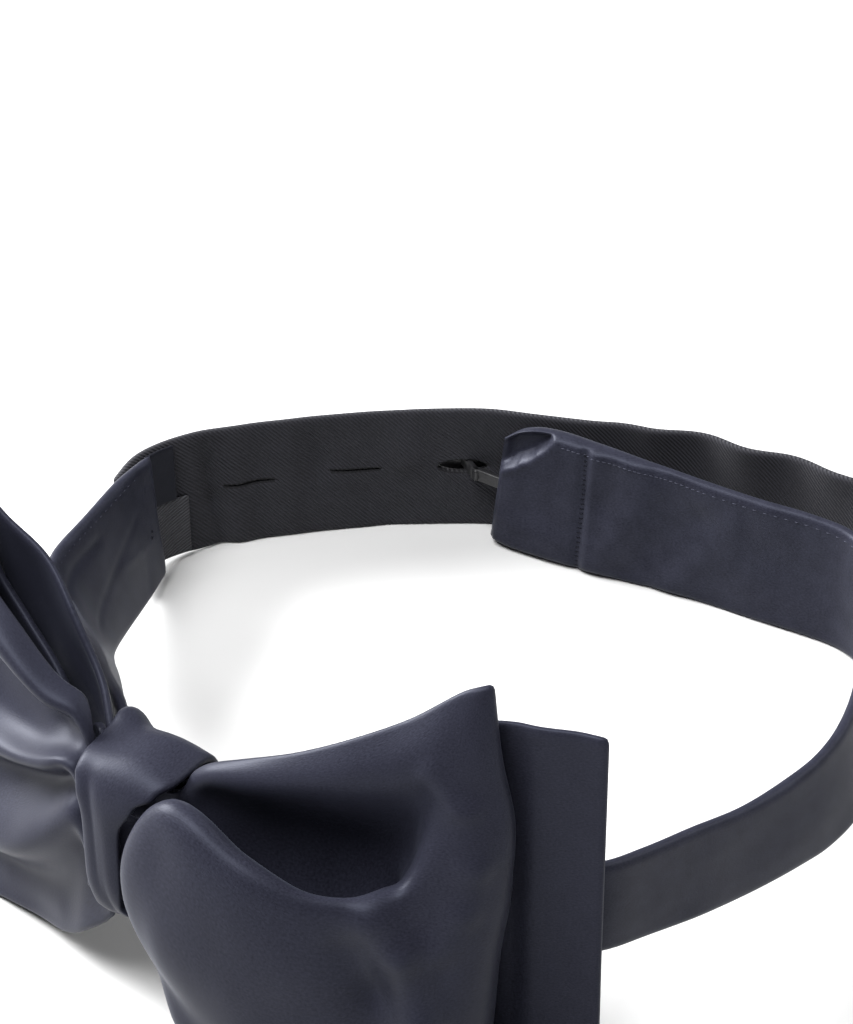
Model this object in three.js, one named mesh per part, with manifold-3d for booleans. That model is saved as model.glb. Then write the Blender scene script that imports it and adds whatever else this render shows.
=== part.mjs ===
// A pet bow tie: a satin bow pinched by a wrap, on a neck strap that hooks into a slotted tape.
// Millimetres, +Z up. The bow faces -Y and the neck loop stands behind it on its lower edges.
import * as THREE from "three";
import { mergeVertices } from "three/addons/utils/BufferGeometryUtils.js";
import Module from "manifold-3d";

const wasm = await Module();
wasm.setup();

// Driving dimensions
const BOW_WALL = 1.1; // the bow's ribbon is doubled satin
const REAR_WALL = 1.0;
const TAPE_THICK = 1.2;
const NECK_MIDDLE_Y = 60;
const WRAP = { depth: 14.1, high: 22.6, wall: 1.3, y: 0.25, z: 26.7, facets: 32 };
const WRAP_EDGE = { left: -6.5, rightBack: 6.2, rightFront: 4.2, narrowing: 0.6 };
const WRAP_SQUARE = { inside: 6, outside: 3.2 }; // exponents of the wrap's two superellipses
const WRAP_ROUND = { inset: 0.3, shoulder: 0.7, edge: 0.45, crown: 1.25 };
// The bow's halves: sweep is how many degrees each bends back, backLower how far its back ribbon's
// top edge lies below the front's, and knotEdge how far from the middle the pinched stretch reaches.
const HALF = {
  right: { side: 1, sweep: 15, backLower: 2.0, knotEdge: 5.0 },
  left: { side: -1, sweep: 31, backLower: 0.8, knotEdge: 5.4 },
};
const SWEEP_FROM = 6.9; // the bow is straight across as far as this
const SWEEP_ROUND = 4;
const SLOT = { long: 7, high: 1.5, pitch: 15.8, count: 6, z: 9.8, first: 22.2, cut: 4 };
const HOOKED_SLOT = { number: 2, high: 2.8 }; // the slot that the hook's neck holds open
const HOOK_CLEAR = 0.35;
// The flat hook from the strap's folded end outwards: size along, through and up, place and turn.
const HOOK = {
  bar: { size: [2.2, 1, 12], x: -16.4, y: 108.8, turn: 0 },
  straight: { size: [7.5, 1, 1.8], x: -19.8, y: 109.0, turn: -3 },
  slant: { size: [6.4, 1, 1.8], x: -25.4, y: 110.8, turn: -34 },
  head: { size: [1.6, 1, 9], x: -27.8, y: 112.6, turn: -34 },
};
const BAND = { rim: 0.7, strapCrown: 0.15 };
const EASE = { passes: 4, share: 0.5 };
const ACROSS_PARTS = 3; // facets between two lines of the bow's ribbon
const MESH_STEP = { bow: 3.2, rear: 4, strap: 5, tape: 4 };

const LINES = ["top", "crest", "wall", "floor", "lip", "belly", "skirt", "hem"];
const LIP = LINES.indexOf("lip");
const TURN_ANGLES = [45, 90, 135];

// The bow's front ribbon. A row is a place across from the knot (x), and each named line across
// the ribbon there has how far it stands forward of the swept middle plane, its height, and
// where given how far it is moved along the row.
const KNOT_ROW = {
  top: [0.8, 35.4], crest: [1.1, 33.6], wall: [0.6, 31.2], floor: [1.9, 29.0],
  lip: [3.8, 31.0], belly: [4.4, 26.8], skirt: [4.3, 22.2], hem: [3.8, 18.2],
};
const RIGHT_FRONT = [
  {
    x: 6.8, top: [0.3, 35.8], crest: [0.8, 34.4], wall: [0.3, 31.8], floor: [1.9, 28.8],
    lip: [5.4, 35.6], belly: [9.2, 31.0, -0.4], skirt: [9.0, 22.5, -0.4], hem: [5.2, 16.8],
  },
  {
    x: 9.2, top: [-1.2, 39.3], crest: [-0.3, 37.8], wall: [-0.9, 34.0], floor: [1.4, 29.6],
    lip: [6.4, 38.6], belly: [10.8, 31.0], skirt: [10.4, 19.0], hem: [7.6, 8.5],
  },
  {
    x: 13, top: [-1.0, 41.5], crest: [0.0, 39.6], wall: [-1.5, 35.0], floor: [1.5, 29.3],
    lip: [7.8, 38.9], belly: [13.0, 30.5], skirt: [12.0, 16.0], hem: [9.8, 2.5],
  },
  {
    x: 20, top: [-0.3, 45.0], crest: [0.7, 42.2], wall: [-1.3, 36.5], floor: [1.9, 27.5],
    lip: [10.4, 36.6], belly: [14.3, 27.5], skirt: [13.6, 13.0], hem: [11.4, 0.4],
  },
  {
    x: 27, top: [-0.5, 48.8], crest: [0.7, 44.5], wall: [-0.9, 38.0], floor: [2.3, 27.5],
    lip: [10.9, 33.4], belly: [14.0, 25.0], skirt: [13.4, 12.0], hem: [11.7, 0.0],
  },
  {
    x: 33, top: [-1.3, 52.4], crest: [0.5, 46.5], wall: [0.5, 40.0], floor: [3.1, 30.0],
    lip: [9.0, 31.2], belly: [11.1, 22.5], skirt: [11.5, 11.0], hem: [10.7, 0.0],
  },
  {
    x: 38, top: [-1.9, 57.0], crest: [0.3, 49.5], wall: [2.1, 42.5], floor: [3.9, 36.0],
    lip: [6.1, 31.0], belly: [9.3, 23.0], skirt: [9.7, 11.0], hem: [9.7, 0.0],
  },
];
const LEFT_FRONT = [
  {
    x: 6.9, top: [0.7, 35.6], crest: [0.9, 34.2], wall: [0.6, 32.2], floor: [1.5, 30.4],
    lip: [3.5, 31.0], belly: [3.7, 27.2], skirt: [4.2, 22.6], hem: [4.0, 18.0],
  },
  {
    x: 8, top: [0.4, 37.6], crest: [0.8, 36.6], wall: [0.6, 34.4], floor: [1.4, 32.4],
    lip: [3.2, 31.6], belly: [3.2, 28.4], skirt: [5.2, 24.0], hem: [6.0, 9.8],
  },
  {
    x: 10, top: [-1.2, 40.4], crest: [-0.3, 39.8], wall: [0.0, 37.6], floor: [0.8, 35.4],
    lip: [2.8, 34.0], belly: [2.8, 29.8], skirt: [5.6, 24.8], hem: [6.0, 7.6],
  },
  {
    x: 13.5, top: [0.6, 42.2], crest: [1.6, 41.4], wall: [0.9, 39.2], floor: [1.1, 37.0],
    lip: [4.8, 34.2], belly: [3.8, 29.0], skirt: [6.9, 23.0], hem: [6.2, 5.9],
  },
  {
    x: 20, top: [2.6, 45.8], crest: [3.6, 44.6], wall: [2.4, 41.4], floor: [2.9, 37.4],
    lip: [8.6, 31.4], belly: [6.6, 25.0], skirt: [10.4, 16.6], hem: [8.0, 3.0],
  },
  {
    x: 27, top: [4.2, 49.3], crest: [5.0, 47.4], wall: [3.8, 43.2], floor: [4.6, 38.0],
    lip: [10.2, 30.4], belly: [8.6, 23.0], skirt: [11.4, 13.4], hem: [9.6, 1.0],
  },
  {
    x: 33, top: [3.4, 53.0], crest: [4.8, 49.5], wall: [4.6, 44.0], floor: [5.4, 38.2],
    lip: [9.6, 30.4], belly: [8.8, 22.4], skirt: [10.4, 12.6], hem: [9.6, 0.0],
  },
  {
    x: 38, top: [2.4, 56.6], crest: [3.6, 51.0], wall: [4.8, 44.5], floor: [5.8, 38.4],
    lip: [8.0, 30.8], belly: [8.4, 22.6], skirt: [8.8, 12.0], hem: [8.8, 0.0],
  },
];
// How far each line swings out past the last row, where the ribbon turns back on itself.
const TURN_REACH = {
  top: 2.6, crest: 4.4, wall: 6.0, floor: 6.8, lip: 6.8, belly: 6.0, skirt: 5.4, hem: 5.0,
};
// The bow's back ribbon, from the fold to the knot: how far it stands forward at each row.
const BACK_FORWARD = {
  right: { knot: -1.2, rows: [-1.3, -2.7, -3.6, -4.0, -4.0, -3.9, -4.0] },
  left: { knot: -1.2, rows: [-1.25, -1.9, -3.0, -3.2, -3.2, -2.2, -0.8, -0.2] },
};

// The square-ended ribbon behind the bow, from the knot outwards.
const REAR = [
  { away: 6.9, rightY: 2.85, leftY: 2.85, rightTop: 35.2, leftTop: 35.2, hem: 19.0 },
  { away: 8.8, rightY: 4.15, leftY: 4.4, rightTop: 35.8, leftTop: 36.2, hem: 16.8 },
  { away: 12.3, rightY: 6.2, leftY: 7.9, rightTop: 37.0, leftTop: 38.4, hem: 13.0 },
  { away: 15, rightY: 7.3, leftY: 9.7, rightTop: 38.0, leftTop: 40.6, hem: 10.2 },
  { away: 20, rightY: 8.8, leftY: 11.9, rightTop: 39.8, leftTop: 45.3, hem: 5.8 },
  { away: 25.6, rightY: 10.1, leftY: 14.5, rightTop: 42.8, leftTop: 49.0, hem: 2.4 },
  { away: 33.7, rightY: 11.9, leftY: 16.8, rightTop: 48.6, leftTop: 51.0, hem: 0.4 },
  { away: 40, rightY: 13.3, leftY: 20.0, rightTop: 51.2, leftTop: 51.6, hem: 0.0 },
  { away: 46, rightY: 14.9, leftY: 23.1, rightTop: 51.5, leftTop: 51.6, hem: 0.0 },
  { away: 53, rightY: 17.0, leftY: 27.0, rightTop: 51.5, leftTop: 51.5, hem: 0.0 },
];
const REAR_PLEAT = { deep: 0.5, folds: 2.5, middle: 12.9, fade: 9, facets: 12 };

// The satin strap, from its joint with the tape on the left, through the wrap, round the right
// side to the hooked end. out is how far its upper edge leans away from the neck.
const STRAP = [
  { x: -54.5, y: 76.2, low: 0.6, wide: 20, out: 1.0, thick: 1.9 },
  { x: -53.9, y: 73, low: 1, wide: 20, out: 1.6, thick: 1.9 },
  { x: -51.4, y: 67, low: 2, wide: 20, out: 3.2, thick: 1.9 },
  { x: -47.2, y: 56, low: 4, wide: 19.4, out: 4.8, thick: 1.9 },
  { x: -43.7, y: 48.5, low: 6, wide: 18.5, out: 5.6, thick: 1.9 },
  { x: -39.8, y: 43.6, low: 8.3, wide: 17.6, out: 5.8, thick: 1.9 },
  { x: -32.9, y: 36.1, low: 12, wide: 16.2, out: 4.6, thick: 1.9 },
  { x: -25, y: 26.4, low: 15.6, wide: 15.4, out: 2.8, thick: 1.9 },
  { x: -17.5, y: 16.6, low: 18.6, wide: 15, out: 1.2, thick: 1.9 },
  { x: -12.4, y: 11.2, low: 20, wide: 15, out: 0.3, thick: 1.7 },
  { x: -9.4, y: 8.2, low: 20.5, wide: 14.2, out: 0, thick: 1.4 },
  { x: -7.1, y: 5.0, low: 20.8, wide: 13.7, out: 0, thick: 1.2 },
  { x: -3, y: 4.45, low: 20.8, wide: 13.6, out: 0, thick: 1.2 },
  { x: 3, y: 4.45, low: 20.8, wide: 13.6, out: 0, thick: 1.2 },
  { x: 6.9, y: 4.95, low: 20.8, wide: 13.7, out: 0, thick: 1.2 },
  { x: 9.6, y: 7.4, low: 20.4, wide: 14.4, out: 0, thick: 1.4 },
  { x: 14, y: 9.7, low: 19.6, wide: 15, out: 0, thick: 1.7 },
  { x: 21, y: 12.3, low: 18.6, wide: 15, out: 0, thick: 1.9 },
  { x: 31, y: 15.5, low: 16.6, wide: 14.8, out: 0, thick: 1.9 },
  { x: 40, y: 18.2, low: 15, wide: 13.8, out: 0, thick: 1.9 },
  { x: 45.4, y: 20.6, low: 14, wide: 13.3, out: -0.2, thick: 1.9 },
  { x: 48.6, y: 24.4, low: 13.2, wide: 13.2, out: -0.3, thick: 1.9 },
  { x: 50.8, y: 31.8, low: 11.4, wide: 13.2, out: -0.5, thick: 1.9 },
  { x: 53.0, y: 40.2, low: 9.4, wide: 13.4, out: -0.9, thick: 1.9 },
  { x: 55.1, y: 49.9, low: 7.3, wide: 13.2, out: -1.1, thick: 1.9 },
  { x: 56.8, y: 60.4, low: 5.3, wide: 13.8, out: -1.5, thick: 1.9 },
  { x: 57.5, y: 66.6, low: 4.2, wide: 14.6, out: -1.7, thick: 1.9 },
  { x: 57.0, y: 75.8, low: 3, wide: 15.8, out: -2.0, thick: 1.9 },
  { x: 54.0, y: 86, low: 1.9, wide: 17.4, out: -2.0, thick: 1.9 },
  { x: 49.8, y: 95.5, low: 1, wide: 18.8, out: -1.8, thick: 1.9 },
  { x: 45.6, y: 103.4, low: 0.4, wide: 19.8, out: -1.6, thick: 1.9 },
  { x: 41.8, y: 109.4, low: 0.1, wide: 20, out: -0.8, thick: 1.9 },
  { x: 36.6, y: 112.1, low: 0, wide: 20, out: 0, thick: 1.9 },
  { x: 29.9, y: 112.5, low: 0, wide: 20, out: 0.2, thick: 1.9 },
  { x: 22, y: 112, low: 0, wide: 20, out: 0.2, thick: 1.9 },
  { x: 14, y: 111.7, low: 0, wide: 20, out: 0.4, thick: 1.9 },
  { x: 6.5, y: 111.1, low: 0, wide: 20, out: 0.6, thick: 1.9 },
  { x: 4, y: 110.7, low: 0, wide: 20, out: 0.6, thick: 3.4 },
  { x: -3, y: 110, low: 0, wide: 20, out: 0.7, thick: 3.6 },
  { x: -10, y: 109.3, low: 0.1, wide: 19.6, out: 0.8, thick: 3.6 },
  { x: -16, y: 108.8, low: 0.3, wide: 19, out: 0.4, thick: 3.6 },
  { x: -19.2, y: 108.6, low: 0.8, wide: 17.6, out: 0.2, thick: 2.6 },
];

// The slotted tape, from behind the satin's end on the left to its free end outside the strap.
const TAPE = [
  { x: -54.9, y: 68.8, low: 2.0, wide: 17.6, out: 2.5 },
  { x: -56.6, y: 74.8, low: 1.0, wide: 18.8, out: 1.6 },
  { x: -55.2, y: 81.6, low: 0.2, wide: 19.8, out: 0.5 },
  { x: -49.6, y: 89.2, low: 0, wide: 20, out: 0.2 },
  { x: -44.3, y: 94.8, low: 0, wide: 20, out: 0 },
  { x: -38.9, y: 99.9, low: 0, wide: 20, out: 0 },
  { x: -33.2, y: 104.7, low: 0, wide: 20, out: 0 },
  { x: -27.2, y: 109, low: 0, wide: 20, out: 0 },
  { x: -22, y: 112.2, low: 0, wide: 20, out: 0 },
  { x: -16, y: 114.4, low: 0, wide: 20, out: 0 },
  { x: -8, y: 117.2, low: 0, wide: 20, out: 0.2 },
  { x: 0, y: 120.4, low: 0, wide: 20, out: 0.3 },
  { x: 8, y: 122.6, low: 0, wide: 20, out: 0.4 },
  { x: 16, y: 123.4, low: 0, wide: 20, out: 0.3 },
  { x: 24, y: 124.6, low: 0, wide: 20, out: 0.2 },
  { x: 31, y: 124.2, low: 0, wide: 20, out: 0 },
  { x: 37, y: 122.6, low: 0, wide: 20, out: 0 },
];

const radians = THREE.MathUtils.degToRad;
const vec = (x, y, z) => new THREE.Vector3(x, y, z);

function meshOf(name, geometry, finish) {
  const mesh = new THREE.Mesh(geometry, new THREE.MeshStandardMaterial(finish));
  mesh.name = name;
  return mesh;
}

// Hems that stand on the surface below are flattened there, so no point lies below z = 0.
function geometryOf(points, triangles) {
  const geometry = new THREE.BufferGeometry();
  const placed = points.flatMap((p) => [p.x, p.y, Math.max(0, p.z)]);
  geometry.setAttribute("position", new THREE.Float32BufferAttribute(placed, 3));
  geometry.setIndex(triangles.flat());
  return geometry;
}

function solidOf(geometry) {
  const bare = geometry.clone();
  bare.deleteAttribute("normal");
  bare.deleteAttribute("uv");
  const merged = mergeVertices(bare, 1e-4);
  const vertProperties = merged.attributes.position.array;
  const triVerts = new Uint32Array(merged.index.array);
  return new wasm.Manifold(new wasm.Mesh({ numProp: 3, vertProperties, triVerts }));
}

function geometryFromSolid(solid) {
  const mesh = solid.getMesh();
  const geometry = new THREE.BufferGeometry();
  geometry.setAttribute("position", new THREE.Float32BufferAttribute(mesh.vertProperties, 3));
  geometry.setIndex(Array.from(mesh.triVerts));
  return geometry;
}

// Points along a smooth curve through the given ones, about `step` apart, with the same count
// in each span for every curve of one sheet.
function spanCounts(points, step, closed) {
  const spans = closed ? points.length : points.length - 1;
  return Array.from({ length: spans }, (_, i) => {
    const length = points[i].distanceTo(points[(i + 1) % points.length]);
    return Math.max(1, Math.round(length / step));
  });
}

function smoothThrough(points, counts, closed) {
  const curve = new THREE.CatmullRomCurve3(points, closed, "centripetal");
  const found = [];
  counts.forEach((count, span) => {
    for (let k = 0; k < count; k++) found.push(curve.getPoint((span + k / count) / counts.length));
  });
  if (!closed) found.push(points.at(-1).clone());
  return found;
}

// A sheet with a wall: grid[i][j] is its middle surface, i along the ribbon and j across it.
function sheetGeometry(grid, thick, closed) {
  const rows = grid.length;
  const columns = grid[0].length;
  const at = (i, j) => grid[closed ? (i + rows) % rows : THREE.MathUtils.clamp(i, 0, rows - 1)][
    THREE.MathUtils.clamp(j, 0, columns - 1)];
  const points = [];
  for (const side of [0.5, -0.5])
    for (let i = 0; i < rows; i++)
      for (let j = 0; j < columns; j++) {
        const along = at(i + 1, j).clone().sub(at(i - 1, j));
        const across = at(i, j + 1).clone().sub(at(i, j - 1));
        const normal = along.cross(across).normalize();
        points.push(at(i, j).clone().addScaledVector(normal, side * thick));
      }
  const front = (i, j) => (i % rows) * columns + j;
  const back = (i, j) => front(i, j) + rows * columns;
  const triangles = [];
  const quad = (a, b, c, d) => triangles.push([a, b, c], [a, c, d]);
  const spans = closed ? rows : rows - 1;
  for (let i = 0; i < spans; i++) {
    for (let j = 0; j < columns - 1; j++) {
      quad(front(i, j), front(i + 1, j), front(i + 1, j + 1), front(i, j + 1));
      quad(back(i, j), back(i, j + 1), back(i + 1, j + 1), back(i + 1, j));
    }
    const last = columns - 1;
    quad(front(i, 0), back(i, 0), back(i + 1, 0), front(i + 1, 0));
    quad(front(i, last), front(i + 1, last), back(i + 1, last), back(i, last));
  }
  if (!closed)
    for (let j = 0; j < columns - 1; j++) {
      const end = rows - 1;
      quad(front(0, j), front(0, j + 1), back(0, j + 1), back(0, j));
      quad(front(end, j), back(end, j), back(end, j + 1), front(end, j + 1));
    }
  return geometryOf(points, triangles);
}

// How far back the middle plane of one half of the bow lies at a place across from the knot.
function sweptBack(half, away) {
  const beyond = Math.max(0, away - SWEEP_FROM);
  return Math.tan(radians(half.sweep)) * (Math.hypot(beyond, SWEEP_ROUND) - SWEEP_ROUND);
}

function bowPoint(half, away, forward, z, along = 0) {
  return vec(half.side * (away + along), sweptBack(half, away + along) - forward, z);
}

// One half of the bow's loop as sections from the knot's front, round the outer fold, to the
// knot's back. Each section has a point for each named line.
function halfLoop(half, rows, backForward) {
  const knot = { x: half.knotEdge, ...KNOT_ROW };
  const front = [knot, ...rows];
  const backOf = (row, forward) => {
    const top = row.top[1] - half.backLower;
    const heightOf = (k) => THREE.MathUtils.lerp(top, row.hem[1], k / (LINES.length - 1));
    return LINES.map((line, k) => bowPoint(half, row.x, forward, heightOf(k)));
  };
  const frontSections = front.map((row) => LINES.map((line) => bowPoint(half, row.x, ...row[line])));
  const forwards = [backForward.knot, ...backForward.rows];
  const backSections = front.map((row, i) => backOf(row, forwards[i])).reverse();
  const end = front.at(-1);
  const turn = TURN_ANGLES.map((degrees) =>
    LINES.map((line, k) => {
      const angle = radians(degrees);
      const from = frontSections.at(-1)[k];
      const to = backSections[0][k];
      const middle = from.clone().lerp(to, (1 - Math.cos(angle)) / 2);
      const reach = TURN_REACH[line] * Math.sin(angle);
      const out = bowPoint(half, end.x + reach, 0, 0).sub(bowPoint(half, end.x, 0, 0));
      return middle.add(out);
    }),
  );
  return [...frontSections, ...turn, ...backSections];
}

// The sheet's middle surface with its tightest bends eased, so that the wall has room in them.
function eased(grid, passes) {
  let now = grid;
  for (let pass = 0; pass < passes; pass++)
    now = now.map((row) =>
      row.map((point, j) => {
        if (j === 0 || j === row.length - 1) return point;
        const mean = row[j - 1].clone().add(row[j + 1]).multiplyScalar(0.5);
        return point.clone().lerp(mean, EASE.share);
      }),
    );
  return now;
}

function bowLoops() {
  const middleFront = LINES.map((line) => vec(0, -KNOT_ROW[line][0], KNOT_ROW[line][1]));
  const right = halfLoop(HALF.right, RIGHT_FRONT, BACK_FORWARD.right);
  const left = halfLoop(HALF.left, LEFT_FRONT, BACK_FORWARD.left).reverse();
  const middleBack = right.at(-1).map((p) => vec(0, p.y, p.z));
  const sections = [middleFront, ...right, middleBack, ...left];
  const acrossCounts = LINES.slice(1).map(() => ACROSS_PARTS);
  const across = sections.map((section) => smoothThrough(section, acrossCounts, false));
  const alongCounts = spanCounts(sections.map((section) => section[LIP]), MESH_STEP.bow, true);
  const lines = across[0].map((_, j) => smoothThrough(across.map((row) => row[j]), alongCounts, true));
  const grid = lines[0].map((_, i) => lines.map((line) => line[i]).reverse());
  return sheetGeometry(eased(grid, EASE.passes), BOW_WALL, true);
}

function rearRibbon() {
  const rowOf = (row, side) => {
    const x = side * row.away;
    const y = side > 0 ? row.rightY : row.leftY;
    const top = side > 0 ? row.rightTop : row.leftTop;
    const inWrap = row.away <= SWEEP_FROM;
    const fade = Math.exp(-Math.pow((row.away - REAR_PLEAT.middle) / REAR_PLEAT.fade, 2));
    return Array.from({ length: REAR_PLEAT.facets + 1 }, (_, k) => {
      const share = k / REAR_PLEAT.facets;
      const pleat = inWrap ? 0 : REAR_PLEAT.deep * fade * Math.sin(2 * Math.PI * REAR_PLEAT.folds * share);
      return vec(x, y + Math.max(0, pleat), THREE.MathUtils.lerp(top, row.hem, share));
    });
  };
  const left = [...REAR].reverse().map((row) => rowOf(row, -1));
  const right = REAR.map((row) => rowOf(row, 1));
  const sections = [...left, rowOf({ ...REAR[0], away: 0 }, 1), ...right];
  const counts = spanCounts(sections.map((section) => section[0]), MESH_STEP.rear, false);
  const lines = sections[0].map((_, j) => smoothThrough(sections.map((row) => row[j]), counts, false));
  const grid = lines[0].map((_, i) => lines.map((line) => line[i]));
  return sheetGeometry(grid, REAR_WALL, false);
}

// A band standing on edge: a rounded flat section carried along its lower and upper edges.
function bandGeometry(stations, step, thickOf, crown) {
  const low = stations.map((s) => vec(s.x, s.y, s.low));
  const upper = stations.map((s, i) => {
    const before = low[Math.max(0, i - 1)];
    const after = low[Math.min(low.length - 1, i + 1)];
    const away = vec(before.y - after.y, after.x - before.x, 0).normalize();
    if (away.dot(vec(s.x, s.y - NECK_MIDDLE_Y, 0)) < 0) away.negate();
    const rise = Math.sqrt(s.wide * s.wide - s.out * s.out);
    return vec(s.x, s.y, s.low + rise).addScaledVector(away, s.out);
  });
  const counts = spanCounts(low, step, false);
  const lowLine = smoothThrough(low, counts, false);
  const upperLine = smoothThrough(upper, counts, false);
  const thicknesses = stations.map((s, i) => vec(i, thickOf(s), 0));
  const thickLine = smoothThrough(thicknesses, counts, false).map((p) => p.y);
  const points = [];
  lowLine.forEach((foot, i) => {
    const before = lowLine[Math.max(0, i - 1)];
    const after = lowLine[Math.min(lowLine.length - 1, i + 1)];
    const rise = upperLine[i].clone().sub(foot);
    const wide = rise.length();
    const normal = after.clone().sub(before).cross(rise).normalize();
    const t = thickLine[i] / 2;
    const section = [
      [0, 0.5 * t], [BAND.rim, t], [wide / 2, t + crown], [wide - BAND.rim, t], [wide, 0.5 * t],
      [wide, -0.5 * t], [wide - BAND.rim, -t], [wide / 2, -t - crown], [BAND.rim, -t], [0, -0.5 * t],
    ];
    for (const [up, side] of section)
      points.push(foot.clone().addScaledVector(rise, up / wide).addScaledVector(normal, side));
  });
  const sides = 10;
  const rows = lowLine.length;
  const triangles = [];
  for (let i = 0; i < rows - 1; i++)
    for (let k = 0; k < sides; k++) {
      const a = i * sides + k;
      const b = i * sides + ((k + 1) % sides);
      triangles.push([a, b + sides, b], [a, a + sides, b + sides]);
    }
  for (let k = 1; k < sides - 1; k++) {
    const end = (rows - 1) * sides;
    triangles.push([0, k, k + 1], [end, end + k + 1, end + k]);
  }
  return geometryOf(points, triangles);
}

function boxAt(size, place, turn) {
  const box = new THREE.BoxGeometry(...size);
  box.rotateZ(turn);
  box.translate(...place);
  return solidOf(box);
}

// A part of the hook as a solid, `grow` wider all round for the room that the strap leaves it.
function hookPart(part, grow) {
  const size = part.size.map((length) => length + 2 * grow);
  return boxAt(size, [part.x, part.y, SLOT.z], radians(part.turn));
}

// The flat hook: a bar held in the strap's folded end, a neck through the tape, a head outside.
function neckHook() {
  const [first, ...others] = Object.values(HOOK).map((part) => hookPart(part, 0));
  return geometryFromSolid(others.reduce((whole, part) => whole.add(part), first));
}

function neckStrap() {
  const band = solidOf(bandGeometry(STRAP, MESH_STEP.strap, (s) => s.thick, BAND.strapCrown));
  const held = [HOOK.bar, HOOK.straight].map((part) => hookPart(part, HOOK_CLEAR));
  return geometryFromSolid(held.reduce((left, part) => left.subtract(part), band));
}

function sizeTape() {
  const line = new THREE.CatmullRomCurve3(TAPE.map((s) => vec(s.x, s.y, 0)), false, "centripetal");
  const length = line.getLength();
  let tape = solidOf(bandGeometry(TAPE, MESH_STEP.tape, () => TAPE_THICK, 0));
  for (let k = 0; k < SLOT.count; k++) {
    const share = (SLOT.first + k * SLOT.pitch) / length;
    const place = line.getPointAt(share);
    const along = line.getTangentAt(share);
    const high = k === HOOKED_SLOT.number ? HOOKED_SLOT.high : SLOT.high;
    const turn = Math.atan2(along.y, along.x);
    tape = tape.subtract(boxAt([SLOT.long, SLOT.cut, high], [place.x, place.y, SLOT.z], turn));
  }
  return geometryFromSolid(tape);
}

// The wrap: a ring of satin round the middle of the bow and the strap.
function knotWrap() {
  const ringPoint = (angle, depth, high, square) => {
    const c = Math.cos(angle);
    const s = Math.sin(angle);
    const y = Math.sign(c) * Math.pow(Math.abs(c), 2 / square) * (depth / 2);
    const z = Math.sign(s) * Math.pow(Math.abs(s), 2 / square) * (high / 2);
    return [WRAP.y + y, WRAP.z + z];
  };
  const points = [];
  for (let i = 0; i < WRAP.facets; i++) {
    const angle = (i / WRAP.facets) * 2 * Math.PI;
    const inner = ringPoint(angle, WRAP.depth - 2 * WRAP.wall, WRAP.high - 2 * WRAP.wall, WRAP_SQUARE.inside);
    const outer = ringPoint(angle, WRAP.depth, WRAP.high, WRAP_SQUARE.outside);
    const mix = (share) => inner.map((v, k) => THREE.MathUtils.lerp(v, outer[k], share));
    const toFront = Math.pow(Math.max(0, -Math.cos(angle)), WRAP_EDGE.narrowing);
    const right = THREE.MathUtils.lerp(WRAP_EDGE.rightBack, WRAP_EDGE.rightFront, toFront);
    const { left } = WRAP_EDGE;
    const { inset, shoulder, edge, crown } = WRAP_ROUND;
    const section = [
      [left + inset, 0], [right - inset, 0], [right, edge], [right - shoulder, 1],
      [(left + right) / 2, crown], [left + shoulder, 1], [left, edge],
    ];
    for (const [x, share] of section) points.push(vec(x, ...mix(share)));
  }
  const sides = 7;
  const triangles = [];
  for (let i = 0; i < WRAP.facets; i++)
    for (let k = 0; k < sides; k++) {
      const a = i * sides + k;
      const b = i * sides + ((k + 1) % sides);
      const c = ((i + 1) % WRAP.facets) * sides + ((k + 1) % sides);
      const d = ((i + 1) % WRAP.facets) * sides + k;
      triangles.push([a, b, c], [a, c, d]);
    }
  return geometryOf(points, triangles);
}

const SATIN = { color: 0x3e4250, roughness: 0.42, metalness: 0 };
const WRAP_SATIN = { color: 0x424654, roughness: 0.45, metalness: 0 };
const TWILL = { color: 0x2c2d32, roughness: 0.85, metalness: 0 };
const BLACK_STEEL = { color: 0x1b1b1e, roughness: 0.4, metalness: 0.9 };

const bowTie = new THREE.Group();
bowTie.add(
  meshOf("bow_loops", bowLoops(), SATIN),
  meshOf("rear_ribbon", rearRibbon(), SATIN),
  meshOf("knot_wrap", knotWrap(), WRAP_SATIN),
  meshOf("neck_strap", neckStrap(), SATIN),
  meshOf("size_tape", sizeTape(), TWILL),
  meshOf("neck_hook", neckHook(), BLACK_STEEL),
);

// The origin is the middle of the whole tie's underside.
const extent = new THREE.Box3().setFromObject(bowTie);
const middle = extent.getCenter(vec(0, 0, 0));
bowTie.position.set(-middle.x, -middle.y, -extent.min.z);

export default bowTie;
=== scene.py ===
import math

import bmesh
import bpy
from mathutils import Matrix, Vector, noise


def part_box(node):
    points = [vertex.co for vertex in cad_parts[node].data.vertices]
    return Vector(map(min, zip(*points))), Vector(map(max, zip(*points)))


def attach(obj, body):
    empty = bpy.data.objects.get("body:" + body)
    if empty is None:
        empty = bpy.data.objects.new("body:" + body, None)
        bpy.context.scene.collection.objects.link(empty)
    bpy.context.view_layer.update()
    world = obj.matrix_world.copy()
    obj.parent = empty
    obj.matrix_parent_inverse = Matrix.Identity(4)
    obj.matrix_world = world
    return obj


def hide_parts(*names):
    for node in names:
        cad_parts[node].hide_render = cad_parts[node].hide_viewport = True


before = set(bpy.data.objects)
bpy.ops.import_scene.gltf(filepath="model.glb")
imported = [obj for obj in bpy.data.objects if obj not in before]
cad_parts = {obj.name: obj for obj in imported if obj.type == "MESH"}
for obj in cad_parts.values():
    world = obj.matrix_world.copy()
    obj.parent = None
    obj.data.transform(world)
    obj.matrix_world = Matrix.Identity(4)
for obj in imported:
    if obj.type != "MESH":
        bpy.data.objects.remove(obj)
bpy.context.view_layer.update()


# The set: a plain pale floor under soft studio light. A long lens looks down on the bow from its
# front right, so that the neck loop shows behind it. The places are in millimetres from a point
# under the knot.
MM = 0.001
wrap_low, wrap_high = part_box("knot_wrap")
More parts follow.
